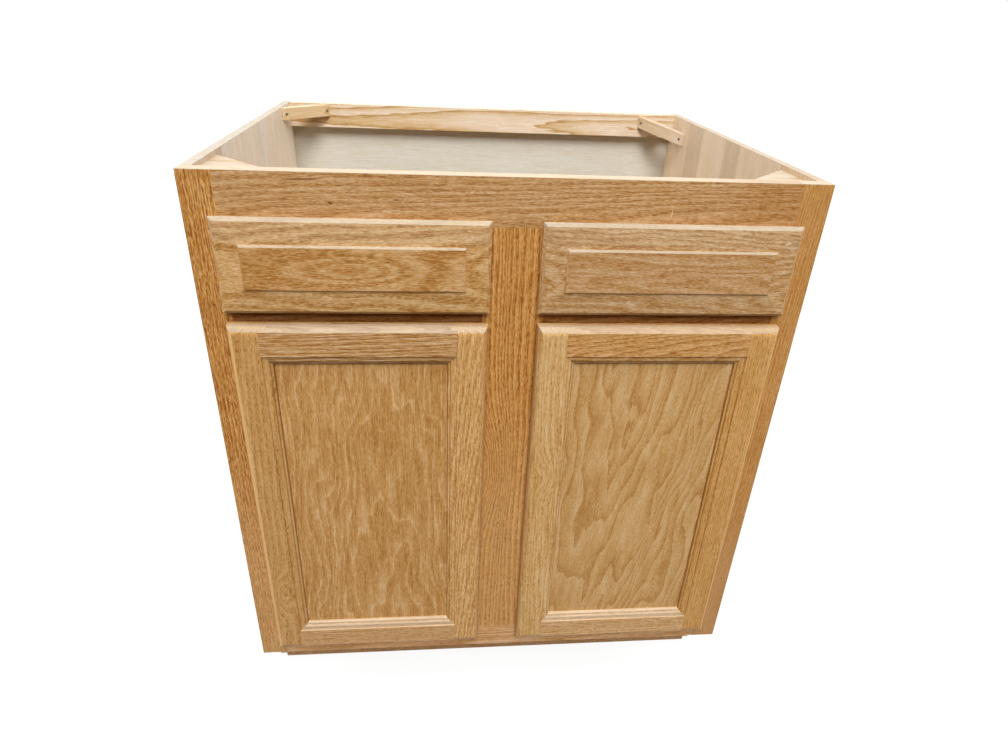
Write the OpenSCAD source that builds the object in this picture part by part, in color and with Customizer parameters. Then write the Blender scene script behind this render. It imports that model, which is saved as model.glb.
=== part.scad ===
// Kitchen base cabinet: a face-frame sink base with two overlay doors and two fixed drawer fronts.
// +Z is up, the doors face -Y, and the origin is on the floor in the middle of the outline.

/* [Cabinet] */
// Width over the face frame
cabinet_w = 762; // [686:0.1:914]
// Height from the floor to the counter seat
cabinet_h = 876.3; // [850:0.1:920]
// Depth from the front of the face frame to the back edge of the sides
cabinet_d = 609.6; // [533:0.1:660]
// Height of the toe space under the face frame
toe_h = 101.6; // [90:0.1:115]
// Set-back of the toe board from the front of the face frame
toe_recess = 76.2; // [60:0.1:85]

/* [Boards] */
// Thickness of the side panels
side_t = 12.7; // [11:0.1:16]
// Thickness of the floor
floor_t = 12.7; // [9:0.1:19]
// Thickness of the toe board
toe_t = 12.7; // [9:0.1:19]
// Thickness of the back panel
back_t = 3.2; // [3:0.1:6.4]
// Depth of the grooves in the sides that hold the floor and the back panel
side_groove = 6.35; // [4:0.05:7]
// Height of the hanging rail
hang_h = 41.3; // [38:0.1:90]
// Thickness of the hanging rail
hang_t = 19.05; // [15:0.05:25]

/* [Face frame] */
// Thickness of the face frame
frame_t = 19.05; // [18:0.05:22]
// Width of the two outer stiles
stile_w = 38.1; // [36:0.1:60]
// Height of the top rail
top_rail_h = 59.3; // [45:0.1:90]
// Height of the fixed drawer fronts' openings
drawer_opening_h = 95.4; // [80:0.1:140]
// Height of the rails between drawer front and door
mid_rail_h = 38.1; // [34:0.1:60]
// Height of the bottom rail
bottom_rail_h = 43; // [36:0.1:60]
// Width of the middle stile
mullion_w = 76.2; // [60:0.1:100]
// Diameter of the dowels in the frame's joints
dowel_d = 8; // [6:0.5:9]
// Length of the dowels
dowel_len = 38; // [25:1:44]
// Distance from a member's edge to its dowels' centres
dowel_edge = 10; // [8:0.5:12]

/* [Corner pieces] */
// Leg of the triangular blocks in the front corners
block_leg = 97; // [70:1:120]
// Thickness of those blocks
block_t = 15.9; // [9:0.1:19]
// Distance of the blocks' upper face below the top
block_drop = 6.3; // [3:0.1:12]
// Leg of the slanting braces in the rear corners
brace_leg = 77; // [60:1:100]
// Thickness of the braces
brace_t = 15; // [12:0.5:19]
// Height of the braces
brace_h = 19.5; // [15:0.5:25]
// Width of the braces' blunt noses
brace_nose = 5; // [3:0.5:8]
// Distance of the level left brace below the top
left_brace_drop = 1.5; // [1:0.5:10]
// Distance of the tilted right brace's middle below the top
right_brace_drop = 24; // [20:0.5:40]
// Tilt of the right brace, down towards the front
right_brace_tilt = 12; // [0:1:15]
// Diameter of the nails through the braces
nail_d = 1.8; // [1.4:0.1:2.4]
// Diameter of the nails' heads
nail_head_d = 4; // [3:0.1:5]
// Length of the nails
nail_len = 22; // [18:1:24]

/* [Doors] */
// Thickness of the doors
door_t = 19.05; // [18.5:0.05:21]
// Gap between the face frame and the closed doors, filled by the bumpers
door_gap = 2.5; // [2.2:0.1:3]
// Overlap of the doors over their openings' sides
overlay_side = 6.35; // [6.2:0.05:8]
// Overlap of the doors over the bottom rail and of the drawer fronts over the top rail
overlay_end = 10.4; // [10.4:0.1:13]
// Overlap of the doors and the drawer fronts over the mid rails
overlay_mid = 11.7; // [10.4:0.1:13]
// Width of the doors' stiles
door_stile_w = 50.8; // [50.8:0.1:65]
// Width of the doors' rails
door_rail_w = 52; // [48:0.1:70]
// Radius of the rounded front edge all round a door
door_edge_r = 12.7; // [11:0.1:14]
// Width of that rounding, which meets the face at an angle
door_edge_w = 6.35; // [4:0.05:7]
// Depth of the door panel behind the front
panel_recess = 9.5; // [9:0.1:10]
// Thickness of the door panel
panel_t = 6.35; // [4:0.05:6.5]
// Depth of the groove that holds the door panel
panel_groove = 9.5; // [6:0.1:10]
// Play of the door panel in its groove, each way
panel_play = 1.5; // [0.5:0.1:3]
// Depth of the first step of the moulding round the panel
mould_step = 1.6; // [1:0.1:2]
// Width of the moulding's broad band
mould_band = 6; // [4:0.1:7]
// Fall of that band towards the panel
mould_fall = 0.8; // [0.2:0.1:1]
// Radius of the rounding below the band
mould_upper_r = 2.6; // [1.5:0.1:3]
// Width of the quirk between the two roundings
mould_quirk = 0.6; // [0.3:0.1:1]
// Radius of the rounding next to the panel
mould_lower_r = 3.5; // [2:0.1:3.6]
// Diameter of the bumpers on the doors
bumper_d = 8; // [6:0.5:8.5]
// Distance of the bumpers' centres from the door's upper and lower edges
bumper_inset = 5.5; // [5.5:0.1:6]
// Distance of the bumpers' centres from the door's free edge
bumper_side = 9; // [8:0.5:14]

/* [Drawer fronts] */
// Thickness of the fixed drawer fronts
front_t = 19.05; // [18:0.05:21]
// Height that the middle field stands proud of its border
field_rise = 2.6; // [1.5:0.1:4]
// Width of the field's bevel
field_bevel = 2.6; // [1.5:0.1:4]
// Fall of the sloping border from the field's foot to the bevel
border_fall = 2.2; // [0.5:0.1:2.5]
// Overlap of the drawer fronts over their openings' sides
front_overlay = 7.9; // [6:0.1:10]
// Border left and right of the field
field_border_x = 29.5; // [20:0.1:40]
// Border above and below the field
field_border_z = 30.4; // [20:0.1:36]
// Size of the bevel round the front edge
front_bevel = 4.5; // [2:0.1:5]
// Run of the back-cut at the upper and lower edges
back_cut_z = 6; // [2:0.1:7]
// Run of the back-cut at the sides
back_cut_x = 3; // [1:0.1:3.5]
// Width of the cleats behind the drawer fronts
cleat_w = 38.1; // [30:0.1:50]
// Thickness of the cleats
cleat_t = 12.7; // [9:0.1:15]
// Reach of the cleats over the opening at each end
cleat_lap = 12.7; // [8:0.1:20]
// Distance of the cleats from the opening's sides
cleat_inset = 22; // [10:1:40]
// Diameter of the cleat screws
cleat_screw_d = 4; // [3:0.1:5]
// Diameter of the cleat screws' heads
cleat_screw_head_d = 8; // [7:0.1:9]
// Height of the cleat screws' heads
cleat_screw_head_h = 2.6; // [2:0.1:3]
// Depth of the cleat screws in the drawer front
cleat_screw_bite = 11; // [8:0.1:13]

/* [Hinges] */
// Diameter of the cup hole in the door
cup_d = 35; // [34:0.1:36]
// Wood between the cup hole and the door's edge
cup_edge = 3; // [2.8:0.1:3.2]
// Depth of the cup
cup_depth = 13; // [12.8:0.1:13.5]
// Wall of the cup
cup_wall = 0.85; // [0.7:0.05:0.9]
// Bottom of the cup
cup_bottom = 0.6; // [0.5:0.05:0.7]
// Thickness of the cup's flange
flange_t = 1.2; // [1:0.1:1.3]
// Distance between the flange's two screws
flange_screw_span = 45; // [43:0.5:48]
// Offset of those screws from the cup's centre
flange_screw_off = 9.5; // [8:0.1:12]
// Width of the flange's screw ears
flange_ear_w = 12; // [9:0.5:14]
// Distance of the hinges from the door's upper and lower edges
hinge_inset = 89; // [75:1:130]
// Distance of the hinge pin from the door's edge
pin_edge = 6.8; // [6.7:0.05:6.9]
// Distance of the hinge pin from the door's back
pin_back = 9.5; // [9.4:0.05:9.6]
// Diameter of the hinge pin
pin_d = 2.5; // [2.3:0.1:2.6]
// Thickness of the cup's two cheeks, which hold the pin
cheek_t = 2; // [1.8:0.1:2.1]
// Diameter of the arm's knuckle
knuckle_d = 5.2; // [5:0.1:5.3]
// Width of the arm
arm_w = 10; // [9:0.1:10.2]
// Thickness of the arm's plate
arm_t = 2.2; // [1.8:0.1:2.3]
// Free space round the arm's neck, where the door's edge swings past
arm_gap = 0.4; // [0.3:0.05:0.5]
// Free space beside the arm in the cup
arm_side_play = 0.3; // [0.25:0.05:0.35]
// Thickness of the plate on the stile
plate_t = 2; // [1.5:0.1:2.5]
// Height of that plate
plate_h = 50; // [44:1:60]
// Distance of the plate's rear edge from the back of the stile
plate_inset = 1; // [0.5:0.1:2]
// Distance between the plate's two screws
plate_screw_span = 32; // [26:1:36]
// Diameter of the hinge screws
hinge_screw_d = 3.5; // [3:0.1:4]
// Diameter of the hinge screws' heads
hinge_screw_head_d = 7; // [6:0.1:7.4]
// Height of the hinge screws' heads
hinge_screw_head_h = 2; // [1.5:0.1:2.4]
// Depth of the cup screws in the door
cup_screw_bite = 11; // [8:0.1:12]
// Depth of the plate screws in the stile
plate_screw_bite = 16; // [12:0.1:20]

/* [Fits] */
// Radial clearance of the hinge pin in the arm, which turns on it
pin_play = 0.05; // [0.02:0.01:0.09]
// Radial clearance of the hinge pin in the cup's cheeks, which grip it
cheek_play = 0.02; // [0.01:0.01:0.03]
// Radial clearance of dowels, nails and screws in their holes
fixing_play = 0.05; // [0.02:0.01:0.1]
// Radial clearance of the cup in its hole
cup_play = 0.05; // [0.02:0.01:0.1]

/* [Hidden] */
$fn = 48;

oak = "#b98750";
oak_panel = "#ab7a44";
pine = "#d9b587";
panel_board = "#d3bfa2";
pale_board = "#d0c5b2";
steel = "#b9babd";
clear_bumper = "#dfe1df";

// Cuts run this far past a face, so that no skin is left on it.
past = 1;

// Y of the face frame's front, with the whole depth centred on the origin
frame_y = -(cabinet_d + door_gap + door_t) / 2 + door_gap + door_t;

// Inner faces of the sides, and of the face frame's openings
side_x = cabinet_w / 2 - side_t;
open_x0 = mullion_w / 2;
open_x1 = cabinet_w / 2 - stile_w;

// Heights of the face frame's members
bottom_rail_top = toe_h + bottom_rail_h;
top_rail_z = cabinet_h - top_rail_h;
mid_rail_top = top_rail_z - drawer_opening_h;
mid_rail_z = mid_rail_top - mid_rail_h;

// The floor lies level with the top of the bottom rail.
floor_z = bottom_rail_top - floor_t;
back_y = cabinet_d - back_t;
hang_y = back_y - hang_t;
notch_y = toe_recess + toe_t / 2;

// Outline of a door, in X and Z
leaf_x0 = open_x0 - overlay_side;
leaf_x1 = open_x1 + overlay_side;
leaf_w = leaf_x1 - leaf_x0;
door_z0 = bottom_rail_top - overlay_end;
door_z1 = mid_rail_z + overlay_mid;
door_h = door_z1 - door_z0;

// How far the rounded front edge of a door reaches round, and how deep it goes
door_edge_end = acos(1 - door_edge_w / door_edge_r);
door_edge_deep = door_edge_r * sin(door_edge_end);

// Outline of a drawer front
front_x0 = open_x0 - front_overlay;
front_x1 = open_x1 + front_overlay;
front_w = front_x1 - front_x0;
front_z0 = mid_rail_top - overlay_mid;
front_z1 = top_rail_z + overlay_end;

// The moulding's whole width
mould_w = mould_band + mould_upper_r + mould_quirk + mould_lower_r;

// The hinge pin's place, and the reach of the door's back corner as it swings round the pin
pin_x = leaf_x1 - pin_edge;
pin_y = -door_gap - pin_back;
lip_r = norm([pin_edge, pin_back]);
cup_x = leaf_x1 - cup_edge - cup_d / 2;
hinge_zs = [door_z1 - hinge_inset, door_z0 + hinge_inset];
arm_slot_w = arm_w + 2 * arm_side_play;
pin_len = arm_slot_w + 2 * cheek_t;

// Places the drawing, whose Y starts at the face frame's front, in the part's own frame.
module in_place() {
    translate([0, frame_y, 0]) children();
}

// Everything is drawn on the right-hand side, and mirrored for the left.
module on_side(side) {
    mirror([side < 0 ? 1 : 0, 0, 0]) children();
}

module box(x0, x1, y0, y1, z0, z1) {
    translate([x0, y0, z0]) cube([x1 - x0, y1 - y0, z1 - z0]);
}

// Turns a shape drawn in X and Y, extruded up, so that it lies in X and Z and is extruded along +Y.
module facing_front(y0, length) {
    translate([0, y0 + length, 0]) rotate([90, 0, 0]) linear_extrude(length) children();
}

// Turns a shape drawn as [Y, Z] so that it is extruded along +X.
module along_x(x0, length) {
    translate([x0, 0, 0]) rotate([90, 0, 90]) linear_extrude(length) children();
}

// Points of a quarter circle or less, from one angle to the other
function arc(cx, cy, r, a0, a1, steps) =
    [for (i = [0 : steps]) [cx + r * cos(a0 + (a1 - a0) * i / steps),
                            cy + r * sin(a0 + (a1 - a0) * i / steps)]];

// Side panel with its toe notch, the floor's groove and the rebate for the back panel
module side_panel(side) {
    color(panel_board)
    on_side(side)
    difference() {
        box(side_x, cabinet_w / 2, frame_t, cabinet_d, 0, cabinet_h);
        box(side_x - past, cabinet_w / 2 + past, frame_t - past, notch_y, -past, toe_h);
        box(side_x - past, side_x + side_groove, frame_t - past, back_y, floor_z, floor_z + floor_t);
        box(side_x - past, side_x + side_groove, back_y, cabinet_d + past, -past, cabinet_h + past);
        rear_brace_nail_holes(side);
    }
}

module floor_panel() {
    color(panel_board)
    box(-side_x - side_groove, side_x + side_groove, frame_t, back_y, floor_z, floor_z + floor_t);
}

module back_panel() {
    color(pale_board)
    box(-side_x - side_groove, side_x + side_groove, back_y, cabinet_d, floor_z, cabinet_h);
}

module hang_rail() {
    color(pine)
    difference() {
        box(-side_x, side_x, hang_y, back_y, cabinet_h - hang_h, cabinet_h);
        for (side = [-1, 1]) on_side(side) rear_brace_nail_holes(side);
    }
}

module toe_board() {
    color(panel_board)
    box(-side_x, side_x, toe_recess, toe_recess + toe_t, 0, floor_z);
}

// Heights of a member's two dowels
function dowel_pair(z0, z1) = [z0 + dowel_edge, z1 - dowel_edge];

// The dowels of one half of the face frame, or their holes when play is added
module frame_dowel_set(play) {
    r = dowel_d / 2 + play;
    len = dowel_len + 2 * play;
    level = concat(dowel_pair(top_rail_z, cabinet_h), dowel_pair(mid_rail_z, mid_rail_top),
                   dowel_pair(toe_h, bottom_rail_top));
    for (z = level)
        translate([open_x1 - len / 2, frame_t / 2, z]) rotate([0, 90, 0]) cylinder(r = r, h = len);
    for (z = dowel_pair(mid_rail_z, mid_rail_top))
        translate([open_x0 - len / 2, frame_t / 2, z]) rotate([0, 90, 0]) cylinder(r = r, h = len);
    for (z = [bottom_rail_top, top_rail_z])
        translate([mullion_w / 4, frame_t / 2, z - len / 2]) cylinder(r = r, h = len);
}

module frame_dowels() {
    color(pine)
    for (side = [-1, 1]) on_side(side) frame_dowel_set(0);
}

// A member of the face frame, drilled for its dowels
module frame_member(x0, x1, z0, z1) {
    color(oak)
    difference() {
        box(x0, x1, 0, frame_t, z0, z1);
        for (side = [-1, 1]) on_side(side) frame_dowel_set(fixing_play);
    }
}

module frame_stile(side) {
    color(oak)
    on_side(side)
    difference() {
        box(open_x1, cabinet_w / 2, 0, frame_t, toe_h, cabinet_h);
        frame_dowel_set(fixing_play);
        for (z = hinge_zs) plate_screw_pair(z, fixing_play);
    }
}

module frame_top_rail() {
    frame_member(-open_x1, open_x1, top_rail_z, cabinet_h);
}

module frame_bottom_rail() {
    frame_member(-open_x1, open_x1, toe_h, bottom_rail_top);
}

module frame_mullion() {
    frame_member(-open_x0, open_x0, bottom_rail_top, top_rail_z);
}

module frame_mid_rail(side) {
    on_side(side) frame_member(open_x0, open_x1, mid_rail_z, mid_rail_top);
}

// Triangular block between a side and the face frame, at the top
module front_corner_block(side) {
    color(pine)
    on_side(side)
    translate([0, 0, cabinet_h - block_drop - block_t])
    linear_extrude(block_t)
    polygon([[side_x, frame_t], [side_x, frame_t + block_leg], [side_x - block_leg, frame_t]]);
}

// A rear brace's plan: its long front face, square noses at both ends, and its back.
// The inner corner between the side and the hanging rail is at [side_x, hang_y].
module brace_plan() {
    back_leg = brace_leg - brace_t * sqrt(2);
    polygon([
        [side_x, hang_y - brace_leg + brace_nose],
        [side_x - brace_nose, hang_y - brace_leg + brace_nose],
        [side_x - brace_leg + brace_nose, hang_y - brace_nose],
        [side_x - brace_leg + brace_nose, hang_y],
        [side_x - back_leg, hang_y],
        [side_x, hang_y - back_leg]
    ]);
}

// Middle of a brace's front face, seen from above
brace_mid_x = side_x - brace_leg / 2;
brace_mid_y = hang_y - brace_leg / 2;

function brace_mid_z(side) =
    side < 0 ? cabinet_h - left_brace_drop - brace_h / 2 : cabinet_h - right_brace_drop;
function brace_tilt(side) = side < 0 ? 0 : right_brace_tilt;

// Moves to the middle of a brace's front face, with X along the brace and Y into it.
module at_brace(side) {
    translate([brace_mid_x, brace_mid_y, brace_mid_z(side)])
    rotate([0, 0, -45])
    rotate([0, brace_tilt(side), 0])
    children();
}

module rear_brace(side) {
    reach = brace_leg + brace_h;
    color(pine)
    on_side(side)
    difference() {
        intersection() {
            linear_extrude(cabinet_h) brace_plan();
            at_brace(side) translate([-reach, -past, -brace_h / 2]) cube([2 * reach, brace_leg, brace_h]);
        }
        rear_brace_nail_holes(side);
    }
}

// Distance of a brace's nails from its middle: they pass the wood that leans on side and rail.
nail_off = brace_leg * sqrt(2) / 2 - brace_nose * sqrt(2) - nail_head_d;

// One nail, or its hole when play is added, with the head on the brace's front face
module brace_nail(play) {
    rotate([-90, 0, 0]) cylinder(d = nail_d + 2 * play, h = nail_len + play);
    if (play == 0) {
        head_t = nail_d / 2;
        translate([0, -head_t, 0]) rotate([-90, 0, 0]) cylinder(d = nail_head_d, h = head_t);
    }
}

module rear_brace_nail_pair(side, play) {
    at_brace(side) for (end = [-1, 1]) translate([end * nail_off, 0, 0]) brace_nail(play);
}

module rear_brace_nail_holes(side) {
    rear_brace_nail_pair(side, fixing_play);
}

module rear_brace_nails() {
    color(steel)
    for (side = [-1, 1]) on_side(side) rear_brace_nail_pair(side, 0);
}

// Section of a drawer front: from the back, out over the back-cut to the arris, in over the bevel, and up the
// sloping border to the field's foot. Half is half the leaf's size.
module front_section(half, back_cut, border) {
    foot = field_rise - front_t;
    edge = foot + border_fall;
    arris = edge + front_bevel;
    polygon([
        [-half + back_cut, 0], [-half, arris], [-half + front_bevel, edge], [-half + border, foot],
        [half - border, foot], [half - front_bevel, edge], [half, arris], [half - back_cut, 0]
    ]);
}

// Section of the raised field
module field_section(half) {
    face = field_rise - front_t;
    polygon([
        [-half, face + past], [-half, face], [-half + field_bevel, -front_t],
        [half - field_bevel, -front_t], [half, face], [half, face + past]
    ]);
}

module drawer_front(side) {
    mid_x = (front_x0 + front_x1) / 2;
    mid_z = (front_z0 + front_z1) / 2;
    half_w = front_w / 2;
    half_h = (front_z1 - front_z0) / 2;
    color(oak)
    on_side(side)
    difference() {
        union() {
            intersection() {
                translate([mid_x, 0, front_z0]) linear_extrude(2 * half_h)
                    front_section(half_w, back_cut_x, field_border_x);
                along_x(front_x0, front_w) translate([0, mid_z]) rotate(90) mirror([0, 1])
                    front_section(half_h, back_cut_z, field_border_z);
            }
            intersection() {
                translate([mid_x, 0, front_z0]) linear_extrude(2 * half_h)
                    field_section(half_w - field_border_x);
                along_x(front_x0, front_w) translate([0, mid_z]) rotate(90) mirror([0, 1])
                    field_section(half_h - field_border_z);
            }
        }
        for (x = cleat_xs) cleat_screw(x, fixing_play);
    }
}

// Middles of the two cleats in an opening
cleat_xs = [open_x0 + cleat_inset + cleat_w / 2, open_x1 - cleat_inset - cleat_w / 2];
cleat_screw_z = (mid_rail_top + top_rail_z) / 2;

// Cleat across an opening, behind the frame
module cleat(side, x) {
    color(pine)
    on_side(side)
    difference() {
        box(x - cleat_w / 2, x + cleat_w / 2, frame_t, frame_t + cleat_t,
            mid_rail_top - cleat_lap, top_rail_z + cleat_lap);
        cleat_screw(x, fixing_play);
    }
}

// Screw from a cleat through the opening into the drawer front, or its hole when play is added
module cleat_screw(x, play) {
    translate([x, 0, cleat_screw_z]) rotate([-90, 0, 0]) {
        translate([0, 0, -cleat_screw_bite - play])
            cylinder(d = cleat_screw_d + 2 * play, h = cleat_screw_bite + frame_t + cleat_t + 2 * play);
        if (play == 0)
            translate([0, 0, frame_t + cleat_t])
                cylinder(d = cleat_screw_head_d, h = cleat_screw_head_h);
    }
}

module cleat_screws() {
    color(steel)
    for (side = [-1, 1]) on_side(side) for (x = cleat_xs) cleat_screw(x, 0);
}

// Section of a door's stile or rail as [distance from the outer edge, depth from the front], for a
// member of the given width: rounded outer edge, moulding, panel groove and square back.
function door_section(width) =
    let (flat = width - mould_w,
         band_end = flat + mould_band,
         band_depth = mould_step + mould_fall,
         quirk = band_end + mould_upper_r,
         quirk_depth = band_depth + mould_upper_r)
    concat(
        arc(door_edge_r, door_edge_deep, door_edge_r, 180, 180 + door_edge_end, 5),
        [[flat, 0], [flat, mould_step]],
        arc(band_end, quirk_depth, mould_upper_r, 270, 360, 4),
        arc(quirk + mould_quirk, quirk_depth + mould_lower_r, mould_lower_r, 270, 360, 4),
        [[width, panel_recess], [width - panel_groove, panel_recess],
         [width - panel_groove, panel_recess + panel_t], [width, panel_recess + panel_t],
         [width, door_t], [0, door_t]]
    );

// The door's front is at Y = -door_gap - door_t; depths are counted from there.
door_y = -door_gap - door_t;

// Strip with a stile's section, over the door's whole height, at the door's left edge
module stile_strip() {
    translate([leaf_x0, door_y, door_z0]) linear_extrude(door_h) polygon(door_section(door_stile_w));
}

// The same strip at the door's right edge
module far_stile_strip() {
    translate([leaf_x0 + leaf_x1, 0, 0]) mirror([1, 0, 0]) stile_strip();
}

// Wood outside the rounded front edge at a door's bottom
module end_rounding() {
    translate([0, door_y, door_z0])
    along_x(leaf_x0 - past, leaf_w + 2 * past)
    polygon(concat([[-past, -past], [door_edge_w, -past]],
                   arc(door_edge_r, door_edge_deep, door_edge_r, 180 + door_edge_end, 180, 5),
                   [[-past, door_edge_deep]]));
}

// The same at a door's top
module far_end_rounding() {
    translate([0, 0, door_z0 + door_z1]) mirror([0, 0, 1]) end_rounding();
}

// Stile at the door's left edge, with both ends rounded at the front
module door_stile() {
    difference() {
        stile_strip();
        end_rounding();
        far_end_rounding();
    }
}

// Hinge stile, which is at the cabinet's outer side, bored for its two hinge cups
module door_hinge_stile(side) {
    color(oak)
    on_side(side)
    difference() {
        translate([leaf_x0 + leaf_x1, 0, 0]) mirror([1, 0, 0]) door_stile();
        for (z = hinge_zs) {
            translate([cup_x, -door_gap - cup_depth - cup_play, z]) rotate([-90, 0, 0])
                cylinder(d = cup_d, h = cup_depth + cup_play + past);
            cup_screw_pair(z, fixing_play);
        }
    }
}

module door_free_stile(side) {
    color(oak)
    on_side(side) door_stile();
}

// Bottom rail, coped over the stiles' mouldings and tongued into their grooves
module door_rail() {
    difference() {
        translate([0, door_y, door_z0])
        along_x(leaf_x0 + door_stile_w - mould_w, leaf_w - 2 * (door_stile_w - mould_w))
            rotate(90) mirror([0, 1]) polygon(door_section(door_rail_w));
        stile_strip();
        far_stile_strip();
    }
}

module door_bottom_rail(side) {
    color(oak)
    on_side(side) door_rail();
}

module door_top_rail(side) {
    color(oak)
    on_side(side) translate([0, 0, door_z0 + door_z1]) mirror([0, 0, 1]) door_rail();
}

module door_panel(side) {
    in_x = door_stile_w - panel_groove + panel_play;
    in_z = door_rail_w - panel_groove + panel_play;
    front = door_y + panel_recess;
    color(oak_panel)
    on_side(side)
    box(leaf_x0 + in_x, leaf_x1 - in_x, front, front + panel_t, door_z0 + in_z, door_z1 - in_z);
}

module door_bumpers(side) {
    color(clear_bumper)
    on_side(side)
    for (z = [door_z0 + bumper_inset, door_z1 - bumper_inset])
        translate([leaf_x0 + bumper_side, -door_gap, z]) rotate([-90, 0, 0])
            cylinder(d = bumper_d, h = door_gap);
}

// Moves to a hinge pin, with +X towards the middle of the cabinet, +Y to the back and +Z up.
module at_pin(z) {
    translate([pin_x, pin_y, z]) mirror([1, 0, 0]) children();
}

// From the pin: the cup's centre, the door's back, the frame's front and the opening's side
cup_in = pin_x - cup_x;
frame_back = door_gap + pin_back;
open_in = pin_x - open_x1;
cup_floor = pin_back - cup_depth + cup_bottom;

// Screws through the cup's flange into the door, or their holes when play is added
module cup_screw_pair(z, play) {
    at_pin(z) for (end = [-1, 1])
        translate([cup_in + flange_screw_off, pin_back, end * flange_screw_span / 2])
        rotate([-90, 0, 0]) {
            translate([0, 0, -cup_screw_bite - play])
                cylinder(d = hinge_screw_d + 2 * play, h = cup_screw_bite + flange_t + 2 * play);
            if (play == 0)
                translate([0, 0, flange_t]) cylinder(d = hinge_screw_head_d, h = hinge_screw_head_h);
        }
}

module cup_screws(side) {
    color(steel)
    on_side(side) for (z = hinge_zs) cup_screw_pair(z, 0);
}

// Hinge cup: a round bowl with a flange and ears on the door's back, and two cheeks for the pin
module hinge_cup(side, z) {
    outer_r = cup_d / 2 - cup_play;
    cheek_reach = pin_d + cup_wall;
    color(steel)
    on_side(side)
    difference() {
        at_pin(z)
        difference() {
            union() {
                difference() {
                    translate([cup_in, pin_back, 0]) rotate([90, 0, 0]) cylinder(r = outer_r, h = cup_depth);
                    translate([cup_in, pin_back + past, 0]) rotate([90, 0, 0])
                        cylinder(r = outer_r - cup_wall, h = pin_back + past - cup_floor);
                }
                intersection() {
                    translate([cup_in, pin_back, 0]) rotate([90, 0, 0]) cylinder(r = outer_r, h = cup_depth);
                    for (end = [-1, 1])
                        translate([-cup_edge - cheek_reach, cup_floor - cup_bottom / 2,
                                   end * (arm_slot_w + cheek_t) / 2 - cheek_t / 2])
                        cube([cup_edge + 2 * cheek_reach, cheek_reach - cup_floor + cup_bottom / 2, cheek_t]);
                }
                flange();
            }
            translate([-cup_d, cup_floor, -arm_slot_w / 2])
                cube([cup_d + cup_wall, pin_back + flange_t + past - cup_floor, arm_slot_w]);
            translate([0, 0, -pin_len / 2 - cheek_play])
                cylinder(d = pin_d + 2 * cheek_play, h = pin_len + 2 * cheek_play);
        }
        cup_screw_pair(z, fixing_play);
    }
}

// The cup's flange on the door's back: a rim round the cup, and a bar with rounded ends for the screws
module flange() {
    rim_r = cup_d / 2 + flange_t;
    bar_x = cup_in + flange_screw_off;
    translate([0, pin_back + flange_t, 0])
    rotate([90, 0, 0])
    linear_extrude(flange_t)
    difference() {
        union() {
            intersection() {
                translate([cup_in, 0]) circle(r = rim_r);
                translate([-cup_edge, -rim_r]) square([rim_r * 3, 2 * rim_r]);
            }
            translate([bar_x - flange_ear_w / 2, -flange_screw_span / 2])
                square([flange_ear_w, flange_screw_span]);
            for (end = [-1, 1])
                translate([bar_x, end * flange_screw_span / 2]) circle(d = flange_ear_w);
        }
        translate([cup_in, 0]) circle(r = cup_d / 2 - cup_play - cup_wall);
    }
}

module hinge_pin(side, z) {
    color(steel)
    on_side(side)
    at_pin(z) translate([0, 0, -pin_len / 2]) cylinder(d = pin_d, h = pin_len);
}

// Screws through the hinge plate into the stile's edge, or their holes when play is added
module plate_screw_pair(z, play) {
    at_pin(z) for (end = [-1, 1])
        translate([open_in, frame_back + frame_t / 2, end * plate_screw_span / 2])
        rotate([0, 90, 0]) {
            translate([0, 0, -plate_screw_bite - play])
                cylinder(d = hinge_screw_d + 2 * play, h = plate_screw_bite + plate_t + 2 * play);
            if (play == 0)
                translate([0, 0, plate_t]) cylinder(d = hinge_screw_head_d, h = hinge_screw_head_h);
        }
}

module hinge_plate_screws() {
    color(steel)
    for (side = [-1, 1]) on_side(side) for (z = hinge_zs) plate_screw_pair(z, 0);
}

// Hinge arm: knuckle, neck bent round the door's swinging back corner, and plate on the stile's edge
module hinge_arm(side, z) {
    front = -knuckle_d / 2;
    neck_in = lip_r + arm_gap;
    neck_back = frame_back + arm_gap;
    plate_end = frame_back + frame_t - plate_inset;
    color(steel)
    on_side(side)
    difference() {
        at_pin(z)
        difference() {
            union() {
                translate([0, 0, -arm_w / 2]) {
                    cylinder(d = knuckle_d, h = arm_w);
                    linear_extrude(arm_w) polygon([
                        [0, front], [neck_in + arm_t, front], [neck_in + arm_t, neck_back + arm_t],
                        [open_in, neck_back + arm_t], [open_in, neck_back], [neck_in, neck_back],
                        [neck_in, front + arm_t], [0, front + arm_t]
                    ]);
                }
                translate([open_in, neck_back, -plate_h / 2])
                    cube([plate_t, plate_end - neck_back, plate_h]);
            }
            translate([0, 0, -arm_w]) cylinder(d = pin_d + 2 * pin_play, h = 2 * arm_w);
        }
        plate_screw_pair(z, fixing_play);
    }
}

in_place() side_panel(-1);  // left_side_panel
in_place() side_panel(1);  // right_side_panel
in_place() floor_panel();
in_place() back_panel();
in_place() hang_rail();
in_place() toe_board();
in_place() frame_stile(-1);  // left_frame_stile
in_place() frame_stile(1);  // right_frame_stile
in_place() frame_top_rail();
in_place() frame_bottom_rail();
in_place() frame_mullion();
in_place() frame_mid_rail(-1);  // left_frame_mid_rail
in_place() frame_mid_rail(1);  // right_frame_mid_rail
in_place() frame_dowels();
in_place() front_corner_block(-1);  // left_front_corner_block
in_place() front_corner_block(1);  // right_front_corner_block
in_place() rear_brace(-1);  // left_rear_brace
in_place() rear_brace(1);  // right_rear_brace
in_place() rear_brace_nails();
in_place() drawer_front(-1);  // left_drawer_front
in_place() drawer_front(1);  // right_drawer_front
in_place() cleat(-1, cleat_xs[1]);  // left_outer_cleat
in_place() cleat(-1, cleat_xs[0]);  // left_inner_cleat
in_place() cleat(1, cleat_xs[0]);  // right_inner_cleat
in_place() cleat(1, cleat_xs[1]);  // right_outer_cleat
in_place() cleat_screws();
in_place() door_hinge_stile(-1);  // left_door_hinge_stile
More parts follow.
